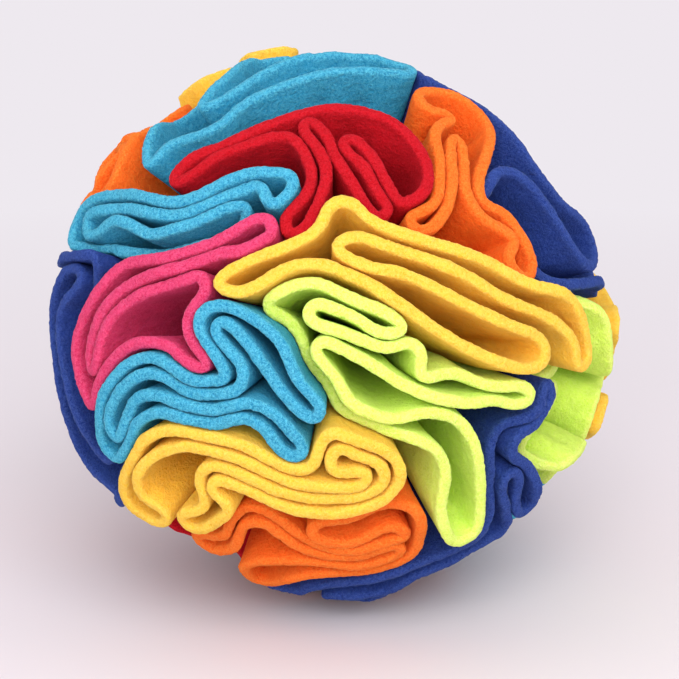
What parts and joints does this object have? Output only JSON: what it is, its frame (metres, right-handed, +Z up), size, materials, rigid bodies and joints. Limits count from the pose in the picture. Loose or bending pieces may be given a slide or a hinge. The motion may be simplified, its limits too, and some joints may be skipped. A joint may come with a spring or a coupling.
{
  "type": "snuffle ball",
  "caption": "Soft ball of round fleece discs gathered at their centres and strung on one cord, so that their edges crowd into winding folds that hide small treats.",
  "frame": {"origin": "bottom centre of the ball, on the small patch of folds that it stands on", "axes": "+Z up as it stands in the picture, +X to the viewer's right, +Y away from the viewer"},
  "size_m": [0.151, 0.1524, 0.1427],
  "materials": {
    "teal": "turquoise polar fleece, soft nap, cut edge",
    "red": "crimson polar fleece, soft nap, cut edge",
    "orange": "bright orange polar fleece, soft nap, cut edge",
    "yellow": "golden yellow polar fleece, soft nap, cut edge",
    "blue": "royal blue polar fleece, soft nap, cut edge",
    "magenta": "magenta pink polar fleece, soft nap, cut edge",
    "green": "neon yellow-green polar fleece, soft nap, cut edge",
    "cord": "off-white braided nylon cord, matt"
  },
  "bodies": {
    "root": {"fleece_teal_top": "teal", "fleece_red_top": "red", "fleece_orange_upper": "orange", "fleece_blue_right": "blue", "fleece_teal_left": "teal", "fleece_magenta_left": "magenta", "fleece_blue_left": "blue", "fleece_teal_centre": "teal", "fleece_yellow_centre": "yellow", "fleece_green_centre": "green", "fleece_yellow_lower": "yellow", "fleece_orange_bottom": "orange", "fleece_blue_bottom": "blue", "fleece_green_right": "green", "fleece_yellow_top_back": "yellow", "fleece_magenta_back": "magenta", "fleece_green_back": "green", "fleece_yellow_right_back": "yellow", "fleece_teal_back": "teal", "fleece_red_back": "red", "fleece_red_underside": "red", "fleece_orange_back": "orange", "fleece_orange_left_back": "orange", "fleece_blue_back": "blue", "fleece_teal_middle_back": "teal", "core_cord": "cord", "core_knot": "cord"}
  },
  "joints": []
}
